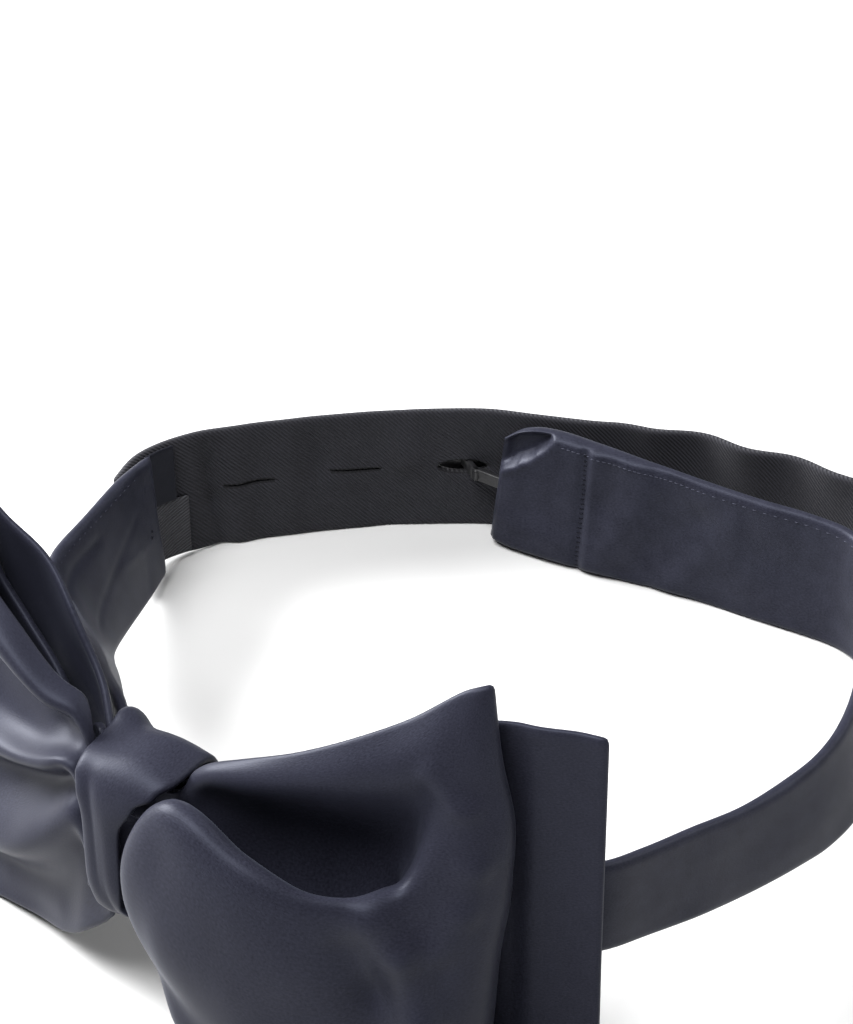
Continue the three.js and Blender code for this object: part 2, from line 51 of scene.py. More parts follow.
UNDER_KNOT = Vector((wrap_low.x + 6.5 * MM, (wrap_low.y + wrap_high.y) / 2 - 0.25 * MM, 0))
LENS_MM = 126.56
CAMERA_AT = (211.5, -265.7, 297.1)
CAMERA_AIM = (-0.4528, 0.6990, -0.5534)


def placed(spot):
    return UNDER_KNOT + Vector(spot) * MM


camera_data = bpy.data.cameras.new("camera")
camera_data.lens = LENS_MM
camera_data.sensor_width = 36
camera = bpy.data.objects.new("camera", camera_data)
camera.location = placed(CAMERA_AT)
camera.rotation_euler = Vector(CAMERA_AIM).to_track_quat("-Z", "Y").to_euler()
bpy.context.scene.collection.objects.link(camera)
bpy.context.scene.camera = camera
bpy.context.scene.view_settings.view_transform = "Standard"

world = bpy.data.worlds.new("studio")
world.use_nodes = True
world.node_tree.nodes["Background"].inputs["Color"].default_value = (1, 1, 1, 1)
world.node_tree.nodes["Background"].inputs["Strength"].default_value = 0.17
bpy.context.scene.world = world

# Each lamp: its place and what it points at in metres, its side in metres, and its watts.
LAMPS = {
    "window": ((-1.05, -0.05, 0.66), (0, 0, 0.02), 0.6, 50.0),
    "far_window": ((0.6, 0.95, 0.9), (0, 0, 0.02), 0.8, 9.0),
    "overhead": ((-0.15, -0.55, 1.3), (0, 0, 0.02), 0.7, 31.0),
}
for lamp_name, (lamp_at, lamp_aim, lamp_side, watts) in LAMPS.items():
    lamp_data = bpy.data.lights.new(lamp_name, "AREA")
    lamp_data.size = lamp_side
    lamp_data.energy = watts
    lamp = bpy.data.objects.new(lamp_name, lamp_data)
    lamp.location = lamp_at
    lamp.rotation_euler = (Vector(lamp_aim) - Vector(lamp_at)).to_track_quat("-Z", "Y").to_euler()
    bpy.context.scene.collection.objects.link(lamp)


class Value:
    """A number in a material, so that shader maths reads as arithmetic."""

    def __init__(self, finish, socket):
        self.finish = finish
        self.socket = socket

    def maths(self, operation, first, second):
        return self.finish.node("ShaderNodeMath", {"operation": operation}, {0: first, 1: second})

    def __add__(self, other):
        return self.maths("ADD", self, other)

    def __radd__(self, other):
        return self.maths("ADD", other, self)

    def __sub__(self, other):
        return self.maths("SUBTRACT", self, other)

    def __rsub__(self, other):
        return self.maths("SUBTRACT", other, self)

    def __mul__(self, other):
        return self.maths("MULTIPLY", self, other)

    def __rmul__(self, other):
        return self.maths("MULTIPLY", other, self)

    def below(self, other):
        return self.maths("LESS_THAN", self, other)


class Finish:
    """A node material, built from its nodes' types, settings and inputs."""

    def __init__(self, name):
        self.material = bpy.data.materials.new(name)
        self.material.use_nodes = True
        self.tree = self.material.node_tree
        self.surface = self.tree.nodes["Principled BSDF"]

    def set(self, socket, value):
        if isinstance(value, Value):
            self.tree.links.new(value.socket, socket)
        else:
            socket.default_value = value

    def node(self, kind, settings=None, inputs=None, output=0):
        made = self.tree.nodes.new(kind)
        for name, value in (settings or {}).items():
            setattr(made, name, value)
        for name, value in (inputs or {}).items():
            self.set(made.inputs[name], value)
        return Value(self, made.outputs[output])

    def surface_takes(self, inputs):
        for name, value in inputs.items():
            self.set(self.surface.inputs[name], value)

    def cloth(self):
        """The piece's own map, in millimetres along and across the cut cloth."""
        return self.node("ShaderNodeUVMap", {"uv_map": "cloth"})

    def cloth_sides(self, cloth):
        """How far along and how far across the cut cloth a point is."""
        along = self.node("ShaderNodeSeparateXYZ", None, {0: cloth})
        return along, Value(self, along.socket.node.outputs["Y"])

    def ribs(self, phase):
        """Even ribs, from 0 to 1 and back as the phase turns."""
        return self.node("ShaderNodeMath", {"operation": "SINE"}, {0: phase}) * 0.5 + 0.5

    def mixed(self, share, low, high):
        settings = {"data_type": "RGBA"}
        return self.node("ShaderNodeMix", settings, {0: share, 6: low, 7: high}, output=2)

    def speckle(self, vector, scale, detail=2.0, stretch=(1, 1, 1)):
        spread = self.node("ShaderNodeMapping", None, {"Vector": vector, "Scale": stretch})
        return self.node("ShaderNodeTexNoise", None, {"Vector": spread, "Scale": scale, "Detail": detail})

    def relief(self, height, distance, under=None):
        inputs = {"Height": height, "Distance": distance, "Strength": 1.0}
        if under is not None:
            inputs["Normal"] = under
        return self.node("ShaderNodeBump", None, inputs)


floor_mesh = bpy.data.meshes.new("floor")
floor_shape = bmesh.new()
bmesh.ops.create_grid(floor_shape, x_segments=1, y_segments=1, size=3)
floor_shape.to_mesh(floor_mesh)
floor_shape.free()
floor = bpy.data.objects.new("floor", floor_mesh)
bpy.context.scene.collection.objects.link(floor)
paper = Finish("pale_paper")
paper_grain = paper.speckle(paper.node("ShaderNodeTexCoord", output=3), 40.0)
paper.surface_takes({
    "Base Color": paper.mixed(paper_grain, (0.49, 0.49, 0.49, 1), (0.53, 0.53, 0.53, 1)),
    "Roughness": 0.9,
})
floor_mesh.materials.append(paper.material)


# The bow: one long satin ribbon folded into a flat ring, its two loops hollow and pinched to a
# third of their height in the middle. Its upper lip folds down over the belly, which leaves a
# deep pocket along each loop. The ribbon is doubled, so its edges are soft folds.
SATIN_DARK = (0.008, 0.008, 0.013, 1)
SATIN_LIGHT = (0.023, 0.024, 0.037, 1)


def satin_finish(name, dark=SATIN_DARK, light=SATIN_LIGHT, patchy=0.15):
    """Charcoal satin: threads run along the ribbon, and the pile of floats gives a soft sheen."""
    satin = Finish(name)
    cloth = satin.cloth()
    threads = satin.speckle(cloth, 9.0, 1.0, (0.22, 1, 1))
    floats = satin.speckle(cloth, 4.5, 1.0, (0.6, 1, 1))
    patches = satin.speckle(cloth, 0.35, 2.0)
    tone = (floats * 0.6 + threads * 0.4) * (1 - patchy) + patches * patchy
    tone = (tone - 0.5) * 1.8 + 0.5
    fine = satin.relief(threads, 0.000012)
    satin.surface_takes({
        "Base Color": satin.mixed(tone, dark, light),
        "Roughness": 0.38 + floats * 0.14,
        "Normal": satin.relief(floats, 0.000014, fine),
        "Specular IOR Level": 0.13,
        "Specular Tint": (0.72, 0.78, 1.0, 1),
        "Sheen Weight": 0.03,
        "Sheen Roughness": 0.4,
        "Sheen Tint": (0.7, 0.78, 1.0, 1),
    })
    return satin.material


bow_satin = satin_finish("bow_satin")

LINES = "top crest wall floor lip belly skirt tuck hem".split()
# The bow's front ribbon: how far from the knot a row is, then for each line across the ribbon how
# far it stands forward of the swept middle plane and its height, and where given a step along.
KNOT_ROW = ((0.8, 35.4), (1.1, 33.6), (0.6, 31.2), (1.9, 29.0), (3.8, 31.0), (4.4, 26.8), (4.3, 22.2),
            (4.0, 20.2), (3.8, 18.2))
RIGHT_FRONT = (
    (6.8, (-0.8, 38.0), (0.2, 36.4), (0.0, 32.6), (1.5, 27.8), (6.4, 38.6),
     (9.4, 31.2, -3.6), (9.2, 22.5, -3.2), (7.2, 19.6, -1.9), (5.2, 16.8, -0.6)),
    (9.2, (-1.2, 39.6), (0.6, 37.8), (-1.6, 32.8), (0.4, 25.0), (7.2, 41.2),
     (11.0, 31.6, -1.8), (10.6, 19.0, -1.4), (9.1, 13.8, -1.0), (7.6, 8.5, -0.6)),
    (13, (-1.0, 41.5), (1.4, 38.8), (-2.4, 32.8), (0.3, 20.5), (8.4, 41.4),
     (13.0, 31.0), (12.0, 16.0), (10.9, 9.2), (9.8, 2.5)),
    (20, (-0.3, 45.0), (2.6, 41.2), (-2.6, 33.8), (0.6, 17.0), (11.0, 39.0),
     (14.3, 27.9), (13.6, 13.0), (12.5, 6.7), (11.4, 0.4)),
    (27, (-0.5, 48.8), (2.8, 43.6), (-2.6, 35.0), (0.9, 18.0), (11.6, 36.2),
     (14.0, 25.4), (13.4, 12.0), (12.6, 6.0), (11.7, 0.0)),
    (33, (-1.7, 52.5), (2.7, 46.2), (-0.8, 38.0), (1.8, 25.5), (9.8, 34.6),
     (11.1, 22.9), (11.5, 11.0), (11.1, 5.5), (10.7, 0.0)),
    (38, (-2.6, 56.6), (1.4, 49.5), (2.2, 43.0), (4.4, 38.2), (6.8, 32.4),
     (9.3, 23.0), (9.7, 11.0), (9.7, 5.5), (9.7, 0.0)),
)
LEFT_FRONT = (
    (6.9, (0.7, 36.0), (0.9, 35.0), (0.6, 34.0), (1.8, 33.0), (3.7, 32.4),
     (3.2, 29.4), (4.2, 26.2), (2.6, 21.4), (4.0, 18.0)),
    (8, (0.4, 38.8), (1.3, 38.4), (0.0, 37.0), (1.6, 35.8), (4.2, 34.8),
     (2.0, 31.0), (4.8, 28.2), (0.6, 20.6), (3.2, 15.0, -5.0)),
    (10, (-1.2, 41.2), (1.8, 40.8), (-0.8, 38.0), (1.4, 35.8), (4.8, 35.4),
     (0.6, 31.0), (5.4, 27.0), (0.6, 17.6), (2.6, 8.8, -1.2)),
    (13.5, (0.6, 42.8), (4.2, 41.6), (-0.2, 37.4), (2.2, 34.0), (6.0, 33.4),
     (0.4, 28.6), (6.8, 23.4), (0.8, 13.4), (2.4, 4.6)),
    (20, (2.6, 46.2), (6.8, 44.8), (1.2, 38.6), (3.2, 32.2), (8.2, 31.0),
     (1.6, 25.4), (9.6, 17.6), (2.0, 10.4), (3.0, 2.0)),
    (27, (4.2, 49.7), (7.8, 47.6), (3.0, 40.6), (4.8, 32.4), (9.8, 29.8),
     (4.4, 23.0), (10.8, 15.0), (3.6, 7.8), (5.6, 0.8)),
    (33, (3.4, 53.0), (5.6, 49.5), (5.0, 43.0), (6.0, 35.6), (9.8, 29.6),
     (7.8, 22.2), (10.6, 13.6), (6.6, 6.4), (8.0, 0.0)),
    (38, (2.4, 56.6), (3.8, 51.0), (4.8, 44.5), (6.0, 37.4), (8.2, 30.4),
     (8.2, 22.6), (9.0, 13.6), (7.6, 6.4), (8.4, 0.0)),
)
# How far each line swings out past the last row, where the ribbon turns back on itself.
TURN_REACH = (2.6, 4.4, 6.0, 6.8, 6.8, 6.0, 5.4, 5.2, 5.0)
TURN_ANGLES = (45, 90, 135)
# How far the top edge rises to a peak at the middle of the turn.
TURN_PEAK = 1.6
# Each half: its side, how many degrees it bends back, how much lower its back ribbon's top edge
# lies, how far the pinched stretch reaches, and how far forward its back ribbon stands, row by row.
RIGHT_HALF = {
    "side": 1, "sweep": 15, "lower": 2.5, "pinch": 5.0,
    "back": (-1.2, -1.3, -2.7, -3.6, -4.0, -4.0, -3.9, -4.0),
}
LEFT_HALF = {
    "side": -1, "sweep": 31, "lower": 9.0, "pinch": 5.4,
    "back": (-1.2, -1.25, -1.9, -3.0, -3.2, -3.2, -2.2, -0.8, -0.2),
}
# Where the halves start to bend back, and how gently.
SWEEP_FROM = 6.9
SWEEP_ROUND = 4
# The back ribbon's top edge is lowered over the first stretch and rises again over the last one.
LOWERING = 6
RISING = 10
RISEN_PAST_END = 4
ACROSS_PARTS = 7
# How many times the tight bends across each half are eased.
RIGHT_EASING = 10
LEFT_EASING = 7
BOW_STEP = 1.3
BOW_WALL = 1.1
BOW_FLAT_MM = (55, 195)


def lerp(low, high, share):
    return low + (high - low) * share


def through(points, counts, closed=False):
    """Points along a smooth curve through the given ones, so many in each span."""
    total = len(points)
    found = []
    for span, count in enumerate(counts):
        start = points[span]
        end = points[(span + 1) % total]
        before = points[span - 1] if closed or span else 2 * start - end
        after = points[(span + 2) % total] if closed or span + 2 < total else 2 * end - start
        reach = max(1e-4, (end - start).length) ** 0.5
        reach_before = max(1e-4, (start - before).length) ** 0.5
        reach_after = max(1e-4, (after - end).length) ** 0.5
        leave = (start - before) / reach_before - (end - before) / (reach_before + reach)
        leave = (leave + (end - start) / reach) * reach
        arrive = (end - start) / reach - (after - start) / (reach + reach_after)
        arrive = (arrive + (after - end) / reach_after) * reach
        for k in range(count):
            t = k / count
            found.append(
                start + leave * t + (3 * (end - start) - 2 * leave - arrive) * t * t
                + (2 * (start - end) + leave + arrive) * t * t * t
            )
    if not closed:
        found.append(points[-1].copy())
    return found


def span_counts(points, step, closed=False):
    """How many steps of about this length fit between each two points."""
    spans = len(points) if closed else len(points) - 1
    return [max(1, round((points[(i + 1) % len(points)] - points[i]).length / step)) for i in range(spans)]


def swept_back(half, away):
    """How far back the middle plane of one half lies, this far from the knot."""
    past = math.hypot(max(0, away - SWEEP_FROM), SWEEP_ROUND) - SWEEP_ROUND
    return math.tan(math.radians(half["sweep"])) * past


def bow_point(half, away, forward, z, along=0.0):
    return Vector((half["side"] * (away + along), swept_back(half, away + along) - forward, z))


def half_loop(half, rows):
    """Sections of one loop from the knot's front, round the outer fold, to the knot's back."""
    rows = ((half["pinch"], *KNOT_ROW), *rows)
    front = [[bow_point(half, row[0], *spot) for spot in row[1:]] for row in rows]
    back = []
    for row, forward in zip(rows, half["back"]):
        to_end = rows[-1][0] + RISEN_PAST_END - row[0]
        lowered = min(1, max(0, row[0] - SWEEP_FROM) / LOWERING, to_end / RISING)
        top = row[1][1] - half["lower"] * lowered
        heights = [lerp(top, row[-1][1], k / (len(LINES) - 1)) for k in range(len(LINES))]
        back.append([bow_point(half, row[0], forward, z) for z in heights])
    end = rows[-1][0]
    turn = []
    for degrees in TURN_ANGLES:
        angle = math.radians(degrees)
        section = []
        for start, stop, reach in zip(front[-1], back[-1], TURN_REACH):
            out = bow_point(half, end + reach * math.sin(angle), 0, 0) - bow_point(half, end, 0, 0)
            peak = Vector((0, 0, TURN_PEAK * math.sin(angle) if not section else 0))
            section.append(start.lerp(stop, (1 - math.cos(angle)) / 2) + out + peak)
        turn.append(section)
    return front + turn + back[::-1]


def eased(row, passes):
    """A row across the sheet with its tightest bends eased."""
    for _ in range(passes):
        between = [row[j].lerp((row[j - 1] + row[j + 1]) / 2, 0.5) for j in range(1, len(row) - 1)]
        row = [row[0], *between, row[-1]]
    return row


def pushed(rows, closed, lift):
    """The sheet with each point moved out along its normal by lift(point, row share, column share)."""
    total = len(rows)
    columns = len(rows[0])
    out = []
    for i, row in enumerate(rows):
        ahead = rows[(i + 1) % total] if closed else rows[min(i + 1, total - 1)]
        behind = rows[i - 1] if closed else rows[max(i - 1, 0)]
        moved = []
        for j, spot in enumerate(row):
            along = ahead[j] - behind[j]
            across = row[min(j + 1, columns - 1)] - row[max(j - 1, 0)]
            normal = along.cross(across).normalized()
            moved.append(spot + normal * lift(spot, i / (total - 1), j / (columns - 1)))
        out.append(moved)
    return out


def grown(shape, name, finish, wall=0.0, levels=1):
    """A finished piece from a bmesh in place, with its wall's thickness where it is a sheet."""
    bmesh.ops.recalc_face_normals(shape, faces=shape.faces)
    mesh = bpy.data.meshes.new(name)
    for face in shape.faces:
        face.smooth = True
    shape.to_mesh(mesh)
    shape.free()
    mesh.materials.append(finish)
    piece = bpy.data.objects.new(name, mesh)
    bpy.context.scene.collection.objects.link(piece)
    if wall:
        solidify = piece.modifiers.new("wall", "SOLIDIFY")
        solidify.thickness = wall * MM
        solidify.offset = 0
    if levels:
        rounding = piece.modifiers.new("rounding", "SUBSURF")
        rounding.levels = levels
        rounding.render_levels = levels
    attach(piece, "root")
    return piece


def cloth_grid(rows, closed, width, keep=None, run=None):
    """A grid laid on the given rows of places, with its own map of millimetres on the cut cloth."""
    rows = rows + rows[:1] if closed else rows
    longest = len(rows) - 1
    widest = len(rows[0]) - 1
    shape = bmesh.new()
    bmesh.ops.create_grid(shape, x_segments=longest, y_segments=widest, size=0.5)
    middle = len(rows[0]) // 2
    if run is None:
        run = [0.0]
        for before, after in zip(rows, rows[1:]):
            run.append(run[-1] + (after[middle] - before[middle]).length)
    across = [0.0]
    for before, after in zip(rows[longest // 2], rows[longest // 2][1:]):
        across.append(across[-1] + (after - before).length)
    cloth = shape.loops.layers.uv.new("cloth")
    for face in shape.faces:
        for corner in face.loops:
            i = round((corner.vert.co.x + 0.5) * longest)
            j = round((corner.vert.co.y + 0.5) * widest)
            corner[cloth].uv = (run[i], across[j] / across[-1] * width)
    dropped = []
    for vertex in shape.verts:
        i = round((vertex.co.x + 0.5) * longest)
        j = round((vertex.co.y + 0.5) * widest)
        vertex.co = placed(rows[i][j])
        if keep and not keep(i, j):
            dropped.append(vertex)
    if dropped:
        bmesh.ops.delete(shape, geom=dropped, context="VERTS")
    bmesh.ops.remove_doubles(shape, verts=shape.verts, dist=0.01 * MM)
    return shape


bow_middle_front = [Vector((0, -forward, z)) for forward, z in KNOT_ROW]
bow_right = half_loop(RIGHT_HALF, RIGHT_FRONT)
bow_left = half_loop(LEFT_HALF, LEFT_FRONT)[::-1]
bow_middle_back = [Vector((0, spot.y, spot.z)) for spot in bow_right[-1]]
bow_sections = [bow_middle_front, *bow_right, bow_middle_back, *bow_left]
bow_across = [through(section, [ACROSS_PARTS] * (len(LINES) - 1)) for section in bow_sections]
bow_counts = span_counts([section[LINES.index("lip")] for section in bow_sections], BOW_STEP, True)
bow_lines = [through([row[j] for row in bow_across], bow_counts, True) for j in range(len(bow_across[0]))]
bow_rows = [[line[i] for line in reversed(bow_lines)] for i in range(len(bow_lines[0]))]
bow_rows = [eased(row, RIGHT_EASING if row[0].x > 0 else LEFT_EASING) for row in bow_rows]


# Soft folds of the front ribbon: where each starts and stops, away from the knot and up, its
# width, and how far it rises or sinks.
RIGHT_FOLDS = (
    (34, 31, 37, 26, 1.6, 1.3), (37, 26, 39.5, 16, 1.8, 1.4), (39.5, 16, 40, 0, 2.2, 1.2),
    (32, 27, 35, 20, 2.2, -1.2), (35, 20, 35.5, 0, 2.4, -1.0), (41.2, 24, 42, 8, 1.4, -0.7),
    (36.5, 47.5, 40.5, 43.4, 1.2, 0.8), (40.5, 43.4, 42.6, 36.5, 1.2, 0.7),
    (42.6, 36.5, 42.2, 31, 1.2, 0.6), (42.2, 31, 40.8, 26, 1.2, 0.6),
)
LEFT_FOLDS = (
    (24, 39.5, 13.5, 37.0, 1.8, -0.4), (13.5, 37.0, 8.5, 34.6, 1.4, -0.4),
    (27, 4.5, 15, 7.5, 1.6, 0.4),
)


def fold_rise(folds, across, up):
    """How far a set of soft folds lifts the cloth at one place."""
    place = Vector((across, up))
    rise = 0
    for from_across, from_up, to_across, to_up, width, height in folds:
        start = Vector((from_across, from_up))
        run = Vector((to_across, to_up)) - start
        share = min(1, max(0, (place - start).dot(run) / run.dot(run)))
        off = (place - start - run * share).length / width
        rise += height * math.exp(-off * off)
    return rise


# Folds are on the front ribbon alone, from this far behind the middle plane forwards.
FOLDS_FROM = 1.5
# The gathers by the knot: how many, how far they rise, where they are highest and how far they
# reach, how much of that is left on the left half, and where they start and how fast.
GATHERS = {"count": 4.5, "rise": 0.5, "at": 10, "reach": 6, "left": 0.2, "start": 7, "over": 2}
# The cloth's slack: how far it rises, how fine it is, and where it starts and how fast.
SLACK = {"rise": 0.35, "fine": 0.11, "start": 8, "over": 10}


def starting(ease, away):
    """From 0 to 1 where a form of the cloth starts, this far from the knot."""
    return min(1, max(0, away - ease["start"]) / ease["over"])


def bow_folds(spot):
    half, folds = (RIGHT_HALF, RIGHT_FOLDS) if spot.x > 0 else (LEFT_HALF, LEFT_FOLDS)
    forward = swept_back(half, abs(spot.x)) - spot.y
    return fold_rise(folds, abs(spot.x), spot.z) * min(1, max(0, forward + FOLDS_FROM))


def bow_lift(spot, along, across):
    away = abs(spot.x)
    gathers = GATHERS["rise"] * math.exp(-((away - GATHERS["at"]) / GATHERS["reach"]) ** 2)
    gathers *= math.sin(2 * math.pi * GATHERS["count"] * across)
    if spot.x < 0:
        gathers *= GATHERS["left"]
    slack = SLACK["rise"] * noise.noise(spot * SLACK["fine"]) * starting(SLACK, away)
    return gathers * starting(GATHERS, away) + slack + bow_folds(spot)


bow_rows = pushed(bow_rows, True, bow_lift)
bow_loops = grown(cloth_grid(bow_rows, True, BOW_FLAT_MM[0]), "bow_ribbon", bow_satin, BOW_WALL)
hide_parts("bow_loops")


# The rear ribbon: a square-ended satin ribbon laid flat behind the bow and gathered under the
# same wrap. Its ends hang straight down past the loops.
REAR_WALL = 1.0
REAR_STEP = 1.4
REAR_COLUMNS = 36
REAR_FLAT_MM = (51.5, 112)
# How far a row is from the knot, its place back on the right and left, its top on the right and
# left, and its hem.
REAR = (
    (6.9, 2.85, 2.85, 35.2, 35.2, 19.0), (8.8, 4.15, 4.4, 35.8, 36.2, 16.8),
    (12.3, 6.2, 7.9, 37.0, 38.4, 13.0), (15, 7.3, 9.7, 38.0, 40.6, 10.2),
    (20, 8.8, 11.9, 39.8, 45.3, 5.8), (25.6, 10.1, 14.5, 42.8, 49.0, 2.4),
    (33.7, 11.9, 16.8, 48.6, 51.0, 0.4), (40, 13.3, 20.0, 51.2, 51.6, 0.0),
    (46, 14.9, 23.1, 51.5, 51.6, 0.0), (53, 17.0, 27.0, 51.5, 51.5, 0.0),
)


# The pleats by the knot: how many, how far they rise, where they are highest and how far they reach.
PLEATS = {"count": 2.5, "rise": 0.5, "at": 12.9, "reach": 9}


def rear_row(away, y, top, hem, side):
    """A row down the rear ribbon, pleated by the knot."""
    fade = math.exp(-((away - PLEATS["at"]) / PLEATS["reach"]) ** 2) if away > SWEEP_FROM else 0
    row = []
    for k in range(REAR_COLUMNS + 1):
        share = k / REAR_COLUMNS
        pleat = max(0, PLEATS["rise"] * fade * math.sin(2 * math.pi * PLEATS["count"] * share))
        row.append(Vector((side * away, y + pleat, lerp(top, hem, share))))
    return row


rear_sections = [rear_row(away, y, top, hem, -1) for away, _, y, _, top, hem in reversed(REAR)]
rear_sections.append(rear_row(0, REAR[0][1], REAR[0][3], REAR[0][5], 1))
rear_sections += [rear_row(away, y, top, hem, 1) for away, y, _, top, _, hem in REAR]
rear_counts = span_counts([section[0] for section in rear_sections], REAR_STEP)
rear_lines = [through([row[j] for row in rear_sections], rear_counts) for j in range(REAR_COLUMNS + 1)]
rear_rows = [[line[i] for line in rear_lines] for i in range(len(rear_lines[0]))]


# Pressed lines down the rear ribbon's ends: how far from the knot, the width and the rise. They
# lean outwards by a small share of their height.
REAR_LINES = ((42.6, 0.6, -0.35), (44.0, 0.8, 0.3), (48.5, 1.5, -0.25))
REAR_LINES_LEAN = 0.02
REAR_SLACK = {"rise": 0.3, "fine": 0.09, "start": 8, "over": 10}


def rear_lift(spot, along, across):
    away = abs(spot.x)
    slack = REAR_SLACK["rise"] * noise.noise(spot * REAR_SLACK["fine"]) * starting(REAR_SLACK, away)
    lines = 0
    for place, wide, rise in REAR_LINES:
        off = (away - place - REAR_LINES_LEAN * spot.z) / wide
        lines += rise * math.exp(-off ** 2)
    return slack - lines


rear_rows = pushed(rear_rows, False, rear_lift)
rear_shape = cloth_grid(rear_rows, False, REAR_FLAT_MM[0])
rear_ribbon = grown(rear_shape, "rear_satin", satin_finish("rear_satin"), REAR_WALL)
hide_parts("rear_ribbon")


# The neck strap: a long tube of folded satin, ironed flat, with no filling. One end laps over
# the tape and is stitched to it, and the other is folded back over the hook's bar and stitched.
NECK_MIDDLE_Y = 60
BAND_RIM = 0.8
STRAP_STEP = 1.3
STRAP_COLUMNS = 24
STRAP_FLAT_MM = (20, 299)
# Each row: its place, the height of its lower edge, its width, how far its upper edge leans away
# from the neck, and its thickness.
STRAP = (
    (-54.2, 74.4, 0.8, 20, 1.3, 1.9), (-53.7, 72.4, 1, 20, 1.7, 1.9), (-51.4, 67, 2, 20, 3.2, 1.9),
    (-47.2, 56, 4, 19.4, 4.8, 1.9), (-43.7, 48.5, 6, 18.5, 7.0, 1.9), (-39.8, 43.6, 8.3, 17.6, 8.0, 1.9),
    (-32.9, 36.1, 12, 16.2, 6.4, 1.9), (-25, 26.4, 15.6, 15.4, 3.6, 1.9), (-17.5, 16.6, 18.6, 15, 1.2, 1.9),
    (-12.4, 11.2, 20, 15, 0.3, 1.7), (-9.4, 8.2, 20.5, 14.2, 0, 1.4), (-7.1, 5.0, 20.8, 13.7, 0, 1.2),
    (-3, 4.45, 20.8, 13.6, 0, 1.2), (3, 4.45, 20.8, 13.6, 0, 1.2), (6.9, 4.95, 20.8, 13.7, 0, 1.2),
    (9.6, 7.4, 20.4, 14.4, 0, 1.4), (14, 9.7, 19.6, 15, 0, 1.7), (21, 12.3, 18.6, 15, 0, 1.9),
    (31, 15.5, 16.6, 14.8, 0, 1.9), (40, 18.2, 15, 13.8, 0, 1.9), (45.4, 20.6, 14, 13.3, -0.2, 1.9),
    (48.6, 24.4, 13.2, 13.2, -0.3, 1.9), (50.8, 31.8, 11.4, 13.2, -0.5, 1.9),
    (53.0, 40.2, 9.4, 13.4, -0.9, 1.9), (55.1, 49.9, 7.3, 13.2, -1.1, 1.9),
    (56.8, 60.4, 5.3, 13.8, -1.5, 1.9), (57.5, 66.6, 4.2, 14.6, -1.7, 1.9),
    (57.0, 75.8, 3, 15.8, -2.0, 1.9), (54.0, 86, 1.9, 17.4, -2.0, 1.9), (49.8, 95.5, 1, 18.8, -1.8, 1.9),
    (45.6, 103.4, 0.4, 19.8, -1.6, 1.9), (41.8, 109.4, 0.1, 20, -0.8, 1.9), (36.6, 112.1, 0, 20, 0, 1.9),
    (29.9, 112.5, 0, 20, 0.2, 1.9), (22, 112, 0, 20, 0.2, 1.9), (14, 111.7, 0, 20, 0.4, 1.9),
    (6.5, 111.1, 0, 20.4, 0.6, 1.9), (4, 110.7, 0, 20.6, 0.6, 2.6), (-3, 110, 0, 21, 0.7, 3.4),
    (-10, 109.3, 0.1, 21.2, 0.8, 3.6), (-16, 108.8, 0.3, 20, 0.4, 3.6), (-19.2, 108.6, 0.8, 17.6, 0.2, 2.6),
)
# The folded end's front layer is pulled down at its corner. Places on the curled rim, across and up.
RIM = ((-20, 13.0), (-17.7, 14.3), (-15.2, 15.8), (-12.7, 17.2), (-10.7, 19.2), (-9.2, 21.6), (-8.6, 24))
RIM_SINK = 2.3
RIM_STEEP = 0.9
# The roll along the rim: how far it rises, how far below the rim its crest lies, and its width.
RIM_ROLL = (0.35, 0.4, 0.6)
# The hollow starts at the strap's cut end and deepens over this stretch.
RIM_START = -19.2
RIM_OVER = 1.2
NO_RIM = 99
# The line of stitches that holds the folded end: its place across at the top and the bottom.
END_SEAM = (-4.2, -5.0)
# Soft folds of the strap's inner face by its folded end, in the bow folds' columns.
STRAP_FOLDS = (
    (-4.2, 21, -5.0, 0, 0.5, -0.75), (-3.0, 21, -3.8, 0, 0.8, 0.3),
    (-2, 2, 6, 17, 2.2, 0.5), (3, 2, 13, 14, 2.2, -0.45), (9, 1, 20, 15, 2.4, 0.4),
    (-1.5, 12, 0, 19, 1.4, -0.35), (-9, 4, -17, 6, 2.5, 0.25),
)


def rim_height(across):
    """The height of the curled rim, or a height above the strap where there is none."""
    for (start, low), (stop, high) in zip(RIM, RIM[1:]):
        if start <= across <= stop:
            return lerp(low, high, (across - start) / (stop - start))
    return NO_RIM


def strap_end(spot):
    """The inner face of the folded end: its curled rim, the hollow above that, and its folds."""
    above = spot.z - rim_height(spot.x)
    sink = RIM_SINK * min(1, max(0, above / RIM_STEEP)) ** 0.5
    sink *= min(1, max(0, (spot.x - RIM_START) / RIM_OVER))
    roll, below, wide = RIM_ROLL
    rim = roll * math.exp(-((above + below) / wide) ** 2)
    return fold_rise(STRAP_FOLDS, spot.x, spot.z) + rim - sink


# A band's last rows are laid this many times finer, for the strap's folded end.
END_ROWS = 7
END_FINER = 2


def band_frame(rows, step):
    """A band's lower edge, upper edge and thickness at even steps along it."""
    low = [Vector((x, y, foot)) for x, y, foot, _, _, _ in rows]
    upper = []
    for i, (x, y, foot, wide, out, _) in enumerate(rows):
        run = low[min(i + 1, len(low) - 1)] - low[max(i - 1, 0)]
        away = Vector((-run.y, run.x, 0)).normalized()
        if away.dot(Vector((x, y - NECK_MIDDLE_Y, 0))) < 0:
            away.negate()
        upper.append(Vector((x, y, foot + math.sqrt(wide * wide - out * out))) + away * out)
    counts = span_counts(low, step)
    counts = [count * (END_FINER if i >= len(rows) - END_ROWS else 1) for i, count in enumerate(counts)]
    thick = [Vector((i, row[5], 0)) for i, row in enumerate(rows)]
    return through(low, counts), through(upper, counts), [spot.y for spot in through(thick, counts)]


# Places up the round edge of a band, as shares of the edge, and how a band's cut ends close.
EDGE_PLACES = (0, 0.06, 0.3)
CLOSING_OVER = 0.7
CLOSED = 0.05


